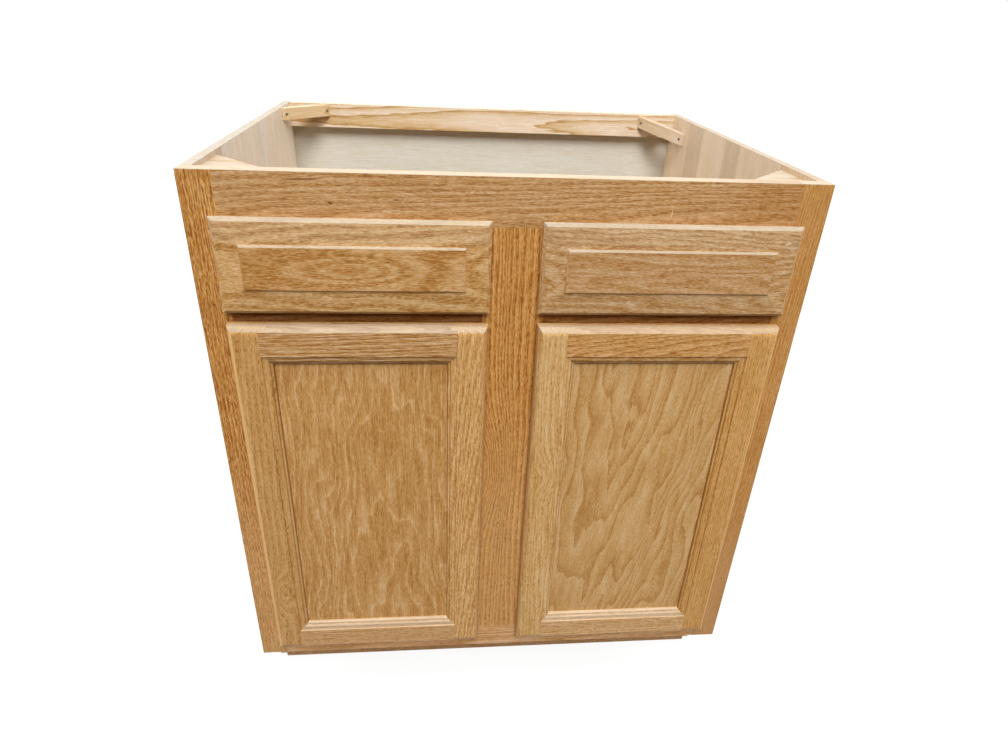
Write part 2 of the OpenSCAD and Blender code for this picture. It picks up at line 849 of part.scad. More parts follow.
in_place() door_free_stile(-1);  // left_door_free_stile
in_place() door_top_rail(-1);  // left_door_top_rail
in_place() door_bottom_rail(-1);  // left_door_bottom_rail
in_place() door_panel(-1);  // left_door_panel
in_place() door_bumpers(-1);  // left_door_bumpers
in_place() door_hinge_stile(1);  // right_door_hinge_stile
in_place() door_free_stile(1);  // right_door_free_stile
in_place() door_top_rail(1);  // right_door_top_rail
in_place() door_bottom_rail(1);  // right_door_bottom_rail
in_place() door_panel(1);  // right_door_panel
in_place() door_bumpers(1);  // right_door_bumpers
in_place() hinge_cup(-1, hinge_zs[0]);  // left_upper_hinge_cup
in_place() hinge_cup(-1, hinge_zs[1]);  // left_lower_hinge_cup
in_place() hinge_cup(1, hinge_zs[0]);  // right_upper_hinge_cup
in_place() hinge_cup(1, hinge_zs[1]);  // right_lower_hinge_cup
in_place() hinge_pin(-1, hinge_zs[0]);  // left_upper_hinge_pin
in_place() hinge_pin(-1, hinge_zs[1]);  // left_lower_hinge_pin
in_place() hinge_pin(1, hinge_zs[0]);  // right_upper_hinge_pin
in_place() hinge_pin(1, hinge_zs[1]);  // right_lower_hinge_pin
in_place() hinge_arm(-1, hinge_zs[0]);  // left_upper_hinge_arm
in_place() hinge_arm(-1, hinge_zs[1]);  // left_lower_hinge_arm
in_place() hinge_arm(1, hinge_zs[0]);  // right_upper_hinge_arm
in_place() hinge_arm(1, hinge_zs[1]);  // right_lower_hinge_arm
in_place() cup_screws(-1);  // left_cup_screws
in_place() cup_screws(1);  // right_cup_screws
in_place() hinge_plate_screws();
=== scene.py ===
"""The looks of a kitchen base cabinet in honey oak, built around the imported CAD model.

The CAD nodes stay as they are. Every board gets its own cut of wood: a material that works out the growth
rings, pores and fine lines of the tree that the board was sawn from, in the board's own directions, and
modifiers that ease its edges. Sizes are in metres, apart from the places of bands, marks and strips, which
are in the frame's millimetres.
"""

import math

import bpy
from mathutils import Matrix, Vector


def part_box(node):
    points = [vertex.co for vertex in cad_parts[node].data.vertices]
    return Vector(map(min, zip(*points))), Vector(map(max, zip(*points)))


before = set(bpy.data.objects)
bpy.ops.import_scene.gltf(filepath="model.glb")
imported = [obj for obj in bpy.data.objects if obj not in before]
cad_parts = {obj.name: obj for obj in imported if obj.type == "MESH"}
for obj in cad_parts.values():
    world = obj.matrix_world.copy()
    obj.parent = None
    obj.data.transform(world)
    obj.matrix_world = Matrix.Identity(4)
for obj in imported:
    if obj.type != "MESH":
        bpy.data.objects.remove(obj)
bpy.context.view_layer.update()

MM = 0.001
SCENE = bpy.context.scene

# The photograph's frame and the camera that was fitted to it
PHOTO_W = 1008
FOCAL_PX = 673.9151
CAMERA_YAW = 0.1092
CAMERA_PITCH = 0.4988
CAMERA_ROLL = 0.0487
CAMERA_PLACE = (-0.0929, -1.0765, 1.0427)
SENSOR_W = 36

# How far a sanded edge is taken off, on the frame and on the fronts
EASE = 0.5 * MM
FINE_EASE = 0.2 * MM

# Angles above which an edge stays sharp in the shading, on curved and on flat pieces, and above which it is
# eased
SHARP_ANGLE = math.radians(30)
FLAT_ANGLE = math.radians(4)
EASED_ANGLE = math.radians(65)

# Doubled points nearer than this are one, and faces that turn less than this are one face
WELD_GAP = 0.01 * MM
SAME_FACE = math.radians(0.3)

# Heights between which a face gives way to its board's upper edge, and the same for the sides' outer faces
TOP_EDGE = (875.6 * MM, 876.0 * MM)
OUTER_FACE = (380.3 * MM, 380.7 * MM)

# Depth that a glued board's strips are spread over
STRIPS_SPAN = 650

# Depth of pores and fibres, and how rough wood is where it has no finish and on the inside of the boards
RELIEF = 0.04 * MM
RAW_ROUGH = 0.85
BOARD_ROUGH = 0.55


class Value:
    """One quantity that varies over a surface. Arithmetic on it adds Math nodes to its material."""

    def __init__(self, shader, socket):
        self.shader = shader
        self.socket = socket

    def math(self, operation, *numbers):
        return self.shader.node("ShaderNodeMath", {"operation": operation}, dict(enumerate(numbers)))

    def __add__(self, other):
        return self.math("ADD", self, other)

    __radd__ = __add__

    def __sub__(self, other):
        return self.math("SUBTRACT", self, other)

    def __rsub__(self, other):
        return self.math("SUBTRACT", other, self)

    def __mul__(self, other):
        return self.math("MULTIPLY", self, other)

    __rmul__ = __mul__

    def __truediv__(self, other):
        return self.math("DIVIDE", self, other)

    def __pow__(self, other):
        return self.math("POWER", self, other)

    def step(self, low, high, start=0.0, end=1.0):
        """A smooth step: start below low, end above high."""
        sockets = {0: self, 1: low, 2: high, 3: start, 4: end}
        return self.shader.node("ShaderNodeMapRange", {"interpolation_type": "SMOOTHSTEP"}, sockets)


class Shader:
    """The nodes of one material."""

    def __init__(self, name):
        self.material = bpy.data.materials.new(name)
        self.material.use_nodes = True
        self.tree = self.material.node_tree
        self.tree.nodes.clear()

    def node(self, kind, settings=None, sockets=None, output=0):
        """Adds a node of that kind. Its settings come first, then the values or links of its sockets."""
        made = self.tree.nodes.new(kind)
        for key, setting in (settings or {}).items():
            if key == "stops":
                set_stops(made.color_ramp, setting)
            else:
                setattr(made, key, setting)
        for key, given in (sockets or {}).items():
            if isinstance(given, Value):
                self.tree.links.new(given.socket, made.inputs[key])
            else:
                made.inputs[key].default_value = given
        return Value(self, made.outputs[output])

    def object_place(self):
        return self.node("ShaderNodeTexCoord", output="Object")

    def parts(self, vector):
        """The three numbers of a place or a colour."""
        split = self.node("ShaderNodeSeparateXYZ", None, {0: vector})
        return [Value(self, socket) for socket in split.socket.node.outputs]

    def noise(self, place, grain_size, seed, detail=0.0):
        """Noise from 0 to 1 whose spots have that size (across, deep, along)."""
        scaled = self.node(
            "ShaderNodeVectorMath",
            {"operation": "MULTIPLY_ADD"},
            {0: place, 1: [1 / size for size in grain_size], 2: (seed * 3.7, seed * 5.3, seed * 7.1)},
        )
        return self.node("ShaderNodeTexNoise", None, {"Vector": scaled, "Scale": 1.0, "Detail": detail})

    def mix(self, share, first, second, blend="MIX"):
        """A colour between the first and the second."""
        settings = {"data_type": "RGBA", "blend_type": blend}
        return self.node("ShaderNodeMix", settings, {0: share, 6: first, 7: second}, 2)

    def ramp(self, share, stops, between="LINEAR"):
        """A colour from stops, each a position and a colour."""
        return self.node("ShaderNodeValToRGB", {"stops": (stops, between)}, {0: share})

    def finish(self, **sockets):
        """Puts the surface together: the sockets of one Principled shader, by name with _ for a space."""
        named = {key.replace("_", " "): given for key, given in sockets.items()}
        surface = self.node("ShaderNodeBsdfPrincipled", None, named)
        self.node_output(surface)
        return self.material

    def node_output(self, surface):
        output = self.tree.nodes.new("ShaderNodeOutputMaterial")
        self.tree.links.new(surface.socket, output.inputs["Surface"])

    def bump(self, height, depth):
        return self.node("ShaderNodeBump", None, {"Height": height, "Strength": 1.0, "Distance": depth})


def set_stops(ramp, setting):
    """Gives a colour ramp its stops."""
    stops, ramp.interpolation = setting
    while len(ramp.elements) > 1:
        ramp.elements.remove(ramp.elements[-1])
    for number, (position, colour) in enumerate(stops):
        stop = ramp.elements[0] if number == 0 else ramp.elements.new(position)
        stop.position = position
        stop.color = (*colour, 1.0)


def grey(level):
    return (level, level, level)


# How fast red, green and blue fall as this wood gets darker
WARMTH = (1.0, 1.7, 3.4)

# How far the wood's tone goes below and above its mean, and how dark an open pore is
DARKER = 0.42
LIGHTER = 0.36
PORE_LEVEL = 0.45

# How much neighbouring rings differ in width
UNEVEN = 0.35


def shade(colour, level):
    """The colour of the same wood where its red is that many times as bright."""
    return [min(c * level ** warmth, 1.0) for c, warmth in zip(colour, WARMTH)]


def rgb(red, green, blue):
    """A colour given as it shows on a screen, 0 to 255, as the linear colour that a shader takes."""
    levels = [c / 255 for c in (red, green, blue)]
    return tuple(c / 12.92 if c <= 0.04 else ((c + 0.055) / 1.055) ** 2.4 for c in levels)


# Tones of painted sheen, painted light, painted highlights and painted shade, and of marks, raw wood and
# laminate
BLACK = rgb(52, 30, 14)
# Painted sheen: a pale veil that stands in for the gloss on upward-facing edges, bevels and mouldings
PAINTED_SHEEN = rgb(178, 170, 152)
# Painted light that makes the lower parts of the uprights lighter
LOWER_PAINTED_LIGHT = rgb(220, 183, 134)
# Painted light on the doors' rounded outer edges
EDGE_LIGHT = rgb(240, 194, 126)
# Painted highlights on the bottom rails' moulding
HIGHLIGHT_CREAM = rgb(226, 204, 172)
# Painted shade in the creases of the door mouldings
PAINTED_SHADE = rgb(112, 66, 26)
DEEP_OAK = rgb(160, 100, 42)
SCUFF = rgb(236, 214, 186)
RAW_OAK = rgb(202, 184, 159)
HONEY_FILM = rgb(187, 139, 82)
PALE_PINE = rgb(222, 192, 152)

# Which way a board lies: the turn from the pattern's directions (x across the face, y into the board, z along
# the grain) to the frame's
UPRIGHT = Matrix.Identity(3)
LEVEL = Matrix(((0, 0, 1), (0, 1, 0), (-1, 0, 0)))
SIDEWAYS = Matrix(((0, -1, 0), (1, 0, 0), (0, 0, 1)))
FLAT = Matrix(((0, 0, 1), (1, 0, 0), (0, 1, 0)))
LEFT_SLANT = Matrix.Rotation(math.radians(45), 3, "Z") @ LEVEL
RIGHT_SLANT = Matrix.Rotation(math.radians(-45), 3, "Z") @ Matrix.Rotation(math.radians(14), 3, "Y") @ LEVEL


def board_place(shader, node, lie, lean):
    """The place from a board's centre, in the pattern's directions, with the grain leaning by an angle."""
    low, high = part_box(node)
    turn = lie @ Matrix.Rotation(lean, 3, "Y")
    settings = {"vector_type": "TEXTURE"}
    sockets = {"Vector": shader.object_place(), "Location": (low + high) / 2, "Rotation": turn.to_euler()}
    return shader.node("ShaderNodeMapping", settings, sockets)


def tree_rings(shader, place, seed, pith, taper, ring, waves, wave_size, jag, eye):
    """Counts growth rings outwards from the pith.

    The pith is a line along the grain at (x, y) = pith, which comes nearer to the face by taper per metre.
    The distance to it is divided by the ring width, bent by slow waves and by fine jags that follow the
    fibres, and raised by a round eye (x, z, its width, its length, its height in rings): the height times e
    to the power of minus the squared distance from the eye. Also returns how far the eye pushes the fibres
    across the face: its rise times the ring width, away from the pith.
    """
    x, y, z = shader.parts(place)
    wave = shader.noise(place, wave_size, seed, 1.0) - 0.5
    ragged = shader.noise(place, (4 * MM, 4 * MM, 30 * MM), seed + 11) - 0.5
    across = x - pith[0]
    deep = y - pith[1] + z * taper
    away = (across * across + deep * deep) ** 0.5
    rings = away / ring + wave * waves + ragged * jag
    if not eye:
        return rings, 0
    eye_x, eye_z, wide, long, height = eye
    from_eye = ((x - eye_x) / wide) ** 2 + ((z - eye_z) / long) ** 2
    rise = shader.node("ShaderNodeMath", {"operation": "EXPONENT"}, {0: from_eye * -1}) * height
    return rings + rise, rise * ring * across / away


# How light the wood is over one growth ring, from its inner side to its outer side
RINGS = {
    "fine": [(0.0, 0.75), (0.1, 0.1), (0.35, 0.3), (0.8, 0.9), (1.0, 0.8)],
    "flame": [(0.0, 0.95), (0.35, 0.75), (0.7, 0.45), (0.9, 0.0), (0.97, 0.2), (1.0, 0.95)],
    "soft": [(0.0, 0.85), (0.3, 0.8), (0.5, 0.25), (0.75, 0.1), (0.9, 0.4), (1.0, 0.85)],
    "light lines": [(0.0, 1.0), (0.12, 0.6), (0.4, 0.4), (0.75, 0.25), (0.93, 0.5), (1.0, 1.0)],
    "pine": [(0.0, 1.0), (0.45, 0.85), (0.8, 0.45), (0.93, 0.0), (1.0, 0.9)],
}

# Width and lengths of the thin lines along the grain, and how far the grain sways to either side
LINE_W = 1.05 * MM
LINE_LENGTHS = (5 * MM, 14 * MM, 45 * MM)
SWAY = 2 * MM


def grain(shader, place, seed, mean, pith=(0.0, 0.06), taper=0.02, ring=3 * MM, waves=3.0,
          wave_size=(0.05, 0.05, 0.35), jag=0.4, eye=None, rings="fine", figure=0.3, patches=0.35,
          patch=(18, 120), fine=(1.1, 0.8, 0.8), dashes=0.6, dash=(1.2, 8.0), contrast=1.0):
    """The colour of wood, with that mean, and its relief from open pores and fibres.

    The tone is the sum of the rings, the patches and three kinds of thin lines along the grain, each a noise
    about zero times its strength. Fine is how strong the short, the middling and the long lines are. Pores
    are dashes where a long thin noise is high, mostly in the early wood of a ring. Each noise has its own
    seed.
    """
    count, pushed = tree_rings(shader, place, seed, pith, taper, ring, waves, wave_size, jag, eye)
    uneven = count + shader.node("ShaderNodeMath", {"operation": "SINE"}, {0: count * 0.9 + seed}) * UNEVEN
    phase = shader.node("ShaderNodeMath", {"operation": "FRACT"}, {0: uneven})
    late = shader.ramp(phase, [(at, grey(level)) for at, level in RINGS[rings]])
    x, y, z = shader.parts(place)
    aside = (shader.noise(place, (25 * MM, 25 * MM, 70 * MM), seed + 17, 1.0) - 0.5) * (SWAY * 2)
    swayed = shader.node("ShaderNodeCombineXYZ", None, {0: x + aside + pushed, 1: y, 2: z})
    wide, long = patch
    spots = shader.noise(swayed, (wide * MM, wide * MM, long * MM), seed + 23, 2.0)
    lines = 0
    for number, (strength, long) in enumerate(zip(fine, LINE_LENGTHS)):
        thread = shader.noise(swayed, (LINE_W, LINE_W, long), seed + 31 + 5 * number, 1.0)
        lines = (thread - 0.5) * strength + lines
    tone = (late - 0.5) * figure + (spots - 0.5) * patches + lines + 0.5
    darkest = shade(mean, 1 - DARKER * contrast)
    lightest = shade(mean, 1 + LIGHTER * contrast)
    colour = shader.ramp(tone, [(0.0, darkest), (0.5, mean), (1.0, lightest)])
    relief = lines * 0.5
    if dashes:
        wide, long = dash
        thin = shader.noise(swayed, (wide * MM, wide * MM, long * MM), seed + 47)
        pore = thin.step(0.51, 0.66) * (1.15 - late)
        colour = shader.mix(pore * dashes, colour, (*shade(mean, PORE_LEVEL), 1.0))
        relief = relief - pore
    return colour, relief


# A depth behind every board, and a thickness that lets a mark go right through one
WHOLE_DEPTH = 400
THROUGH = 1e3


def band(share, tone, z, x=(-400, 400), soft=0.3):
    """A part of a front, from x to x and z to z, that is mixed by that share with a tone of its own."""
    return x, z, soft, share, tone


def speck(x, z, wide, high, lean=0.0, strength=0.9, tone=BLACK):
    """A small mark at (x, z), with its half width, half height and lean, and the strength and tone it has."""
    return x, z, wide, high, lean, strength, tone


def marked(shader, colour, marks):
    """Puts small soft ovals on a front, each as speck() gives it."""
    for x, z, wide, high, lean, strength, tone in marks:
        settings = {"vector_type": "TEXTURE"}
        sockets = {
            "Vector": shader.object_place(),
            "Location": (x * MM, 0, z * MM),
            "Rotation": (0, lean, 0),
            "Scale": (wide * MM, THROUGH, high * MM),
        }
        around = shader.node("ShaderNodeMapping", settings, sockets)
        away = shader.node("ShaderNodeVectorMath", {"operation": "LENGTH"}, {0: around}, "Value")
        colour = shader.mix(away.step(0.5, 1.1, strength, 0.0), colour, (*tone, 1.0))
    return colour


def tones_and_painted_light(shader, colour, bands, depth):
    """Gives parts of a front a tone of their own, each as band() gives it: the wood's own tones, and painted
    sheen, painted light, painted highlights and painted shade.

    Depth is how far back they reach, so that they don't show on the back of the board.
    """
    if not bands:
        return colour
    x, y, z = shader.parts(shader.object_place())
    front = y.step((depth - 0.5) * MM, (depth + 0.5) * MM, 1.0, 0.0)
    for (left, right), (low, high), soft, share, tone in bands:
        wide = within(x, left, right, soft)
        tall = within(z, low, high, soft)
        colour = shader.mix(front * wide * tall * share, colour, (*tone, 1.0))
    return colour


def within(value, low, high, soft):
    """1 between low and high and 0 outside, with edges that are soft to either side, all in millimetres."""
    rise = value.step((low - soft) * MM, (low + soft) * MM)
    return rise * value.step((high - soft) * MM, (high + soft) * MM, 1.0, 0.0)


def wood(name, node, lie, seed, mean, lean=0.0, gloss=0.42, shine=0.18, marks=(), bands=(), depth=WHOLE_DEPTH,
         raw_top=None, **cut):
    """A board's own wood. Raw top is the colour of an upper edge that was left without a finish."""
    shader = Shader(name)
    place = board_place(shader, node, lie, lean)
    colour, relief = grain(shader, place, seed, mean, **cut)
    rough = relief * -0.15 + gloss
    if raw_top:
        top = shader.parts(shader.object_place())[2].step(*TOP_EDGE)
        bare, _ = grain(shader, place, seed, raw_top, fine=(0.4, 0.4, 0.3), dashes=0.2, contrast=0.4)
        colour = shader.mix(top, colour, bare)
        rough = top * (RAW_ROUGH - gloss) + rough
    return shader.finish(
        Base_Color=marked(shader, tones_and_painted_light(shader, colour, bands, depth), marks),
        Roughness=rough,
        Specular_IOR_Level=shine,
        Normal=shader.bump(relief, RELIEF),
    )


def glued_board(name, node, lie, seed, mean, strips, outer=None):
    """Edge-glued strips of pale wood, each with its own tone and grain, and a laminate on the outside.

    Strips are their far edges, counted backwards from the middle, and their tones.
    """
    shader = Shader(name)
    place = board_place(shader, node, lie, 0.0)
    x, y, z = shader.parts(place)
    frame_x, frame_y, frame_z = shader.parts(shader.object_place())
    along = frame_y / (STRIPS_SPAN * MM) + 0.5
    edges = [0.0] + [edge / STRIPS_SPAN + 0.5 for edge, tone in strips[:-1]]
    tone = shader.ramp(along, [(at, tone) for at, (edge, tone) in zip(edges, strips)], "CONSTANT")
    number = shader.ramp(along, [(at, grey(0.11 * (k % 8))) for k, at in enumerate(edges)], "CONSTANT")
    shifted = shader.node("ShaderNodeCombineXYZ", None, {0: x, 1: y, 2: z + number * 7})
    colour, relief = grain(
        shader, shifted, seed, mean, pith=(0.4, 0.1), ring=5 * MM, figure=0.35, patches=0.6,
        fine=(0.5, 0.6, 0.6), dashes=0.15, dash=(0.8, 12.0), contrast=0.4,
    )
    top = frame_z.step(*TOP_EDGE)
    colour = shader.mix(1.0, colour, shader.mix(top, tone, (*TOP_TONE, 1)), "MULTIPLY")
    if outer:
        film, _ = grain(
            shader, place, seed + 9, outer, pith=(0.05, 0.12), ring=6 * MM, taper=0.05, dashes=0.5,
        )
        away = shader.node("ShaderNodeMath", {"operation": "ABSOLUTE"}, {0: frame_x})
        colour = shader.mix(away.step(*OUTER_FACE) * (1 - top), colour, film)
    rough = top * (RAW_ROUGH - BOARD_ROUGH) + relief * -0.1 + BOARD_ROUGH
    return shader.finish(Base_Color=colour, Roughness=rough, Normal=shader.bump(relief, RELIEF))


def metal(name, colour, rough):
    """Plated steel with faint rubbed patches."""
    shader = Shader(name)
    place = shader.object_place()
    worn = shader.noise(place, (3 * MM, 3 * MM, 3 * MM), 3, 2.0)
    fine = shader.noise(place, (0.4 * MM, 0.4 * MM, 4 * MM), 5, 1.0)
    darker = [c * 0.78 for c in colour]
    return shader.finish(
        Base_Color=shader.ramp(worn, [(0.3, darker), (0.7, colour)]),
        Roughness=worn * 0.15 + fine * 0.1 + rough,
        Metallic=1.0,
    )


def soft_plastic(name, colour):
    """Clear soft plastic, gone a little milky."""
    shader = Shader(name)
    cloud = shader.noise(shader.object_place(), (2 * MM, 2 * MM, 2 * MM), 8, 1.0)
    darker = [c * 0.85 for c in colour]
    return shader.finish(
        Base_Color=shader.ramp(cloud, [(0.3, darker), (0.7, colour)]),
        Roughness=cloud * 0.2 + 0.25,
        Transmission_Weight=0.5,
    )


# Fronts of the doors: painted sheen on the upper edge, painted light on the rounded outer edges, painted
# shade lines in the creases of the mouldings and painted highlights on the bottom rail's moulding. They reach
# back to just behind the moulding.
DOOR_DEPTH = -301.5
BELOW_TOP_SHEEN = (0, 688.9)
TOP_SHEEN = band(0.5, PAINTED_SHEEN, z=(688.9, 900))
# Painted light on the doors' rounded outer edges, below the top sheen
LEFT_EDGE_LIGHT = band(0.5, EDGE_LIGHT, z=BELOW_TOP_SHEEN, x=(-400, -342.2))
RIGHT_EDGE_LIGHT = band(0.35, EDGE_LIGHT, z=BELOW_TOP_SHEEN, x=(343.4, 400))
# Painted shade lines in the steps of the top rails' moulding
TOP_SHADE_LINES = [
    band(0.6, PAINTED_SHADE, z=(654.3, 655.9)),
    band(0.5, PAINTED_SHADE, z=(646.4, 647.6)),
    band(0.6, PAINTED_SHADE, z=(640, 644.2)),
]
# Painted highlights and painted sheen on the upward-facing coves of the bottom rails' moulding
BOTTOM_HIGHLIGHTS = [
    band(0.4, PAINTED_SHEEN, z=(173.6, 188)),
    band(0.4, HIGHLIGHT_CREAM, z=(172.7, 175.0)),
    band(0.4, HIGHLIGHT_CREAM, z=(179.5, 181.3)),
    band(0.4, HIGHLIGHT_CREAM, z=(184.3, 187)),
]
BELOW_TOP_SHADE = (0, 655.9)
# Places and shares of the painted shade lines along the stiles' mouldings
HINGE_SHADE_LINES = [(310.2, 311.1, 0.35), (301.7, 302.7, 0.5), (297, 299.6, 0.6)]
FREE_SHADE_LINES = [(69.9, 70.8, 0.35), (78.3, 79.3, 0.5), (81.4, 84, 0.6)]


def upright_shade_lines(side, edges):
    """The painted shade lines along a door stile's moulding, on the left (side -1) or on the right (side 1).
    """
    lines = []
    for near, far, share in edges:
        x = tuple(sorted((side * near, side * far)))
        lines.append(band(share, PAINTED_SHADE, z=BELOW_TOP_SHADE, x=x))
    return lines


def drawer_bands(side, border_sheen, depth):
    """Painted sheen on a drawer front's bevels, a faint painted sheen on its upper border, and a deeper tone
    on its field.
    """
    x = tuple(sorted((side * 59.7, side * 321.3)))
    # Painted sheen on the top bevel, the upper border and the field's top bevel
    return [
        band(0.65, PAINTED_SHEEN, z=(822.7, 900)),
        band(border_sheen, PAINTED_SHEEN, z=(800, 824), soft=4),
        band(depth, DEEP_OAK, z=(740.3, 797.0), x=x, soft=0.5),
        band(0.65, PAINTED_SHEEN, z=(794.2, 796.8), x=x),
    ]


# How the boards of pine were cut, and the parts of the frame that are lighter or deeper than the rest; the
# lighter lower parts of the uprights are painted light
PINE = dict(dashes=0.0, fine=(0.3, 0.4, 0.6), ring=5 * MM, rings="pine", figure=0.5, contrast=0.6, gloss=0.6,
            shine=0.25)
LOW_PAINTED_LIGHT = band(0.35, LOWER_PAINTED_LIGHT, z=(-300, 400), soft=150)
MULLION_PAINTED_LIGHT = band(0.18, LOWER_PAINTED_LIGHT, z=(-300, 480), soft=120)
RIGHT_STILE_PAINTED_LIGHT = band(0.45, rgb(184, 140, 96), z=(-300, 330), soft=60)
TOP_RAIL_TONES = [
    band(0.12, rgb(206, 170, 124), z=(600, 900), x=(-400, 280), soft=60),
    band(0.25, DEEP_OAK, z=(600, 900), x=(270, 400), soft=40),
]

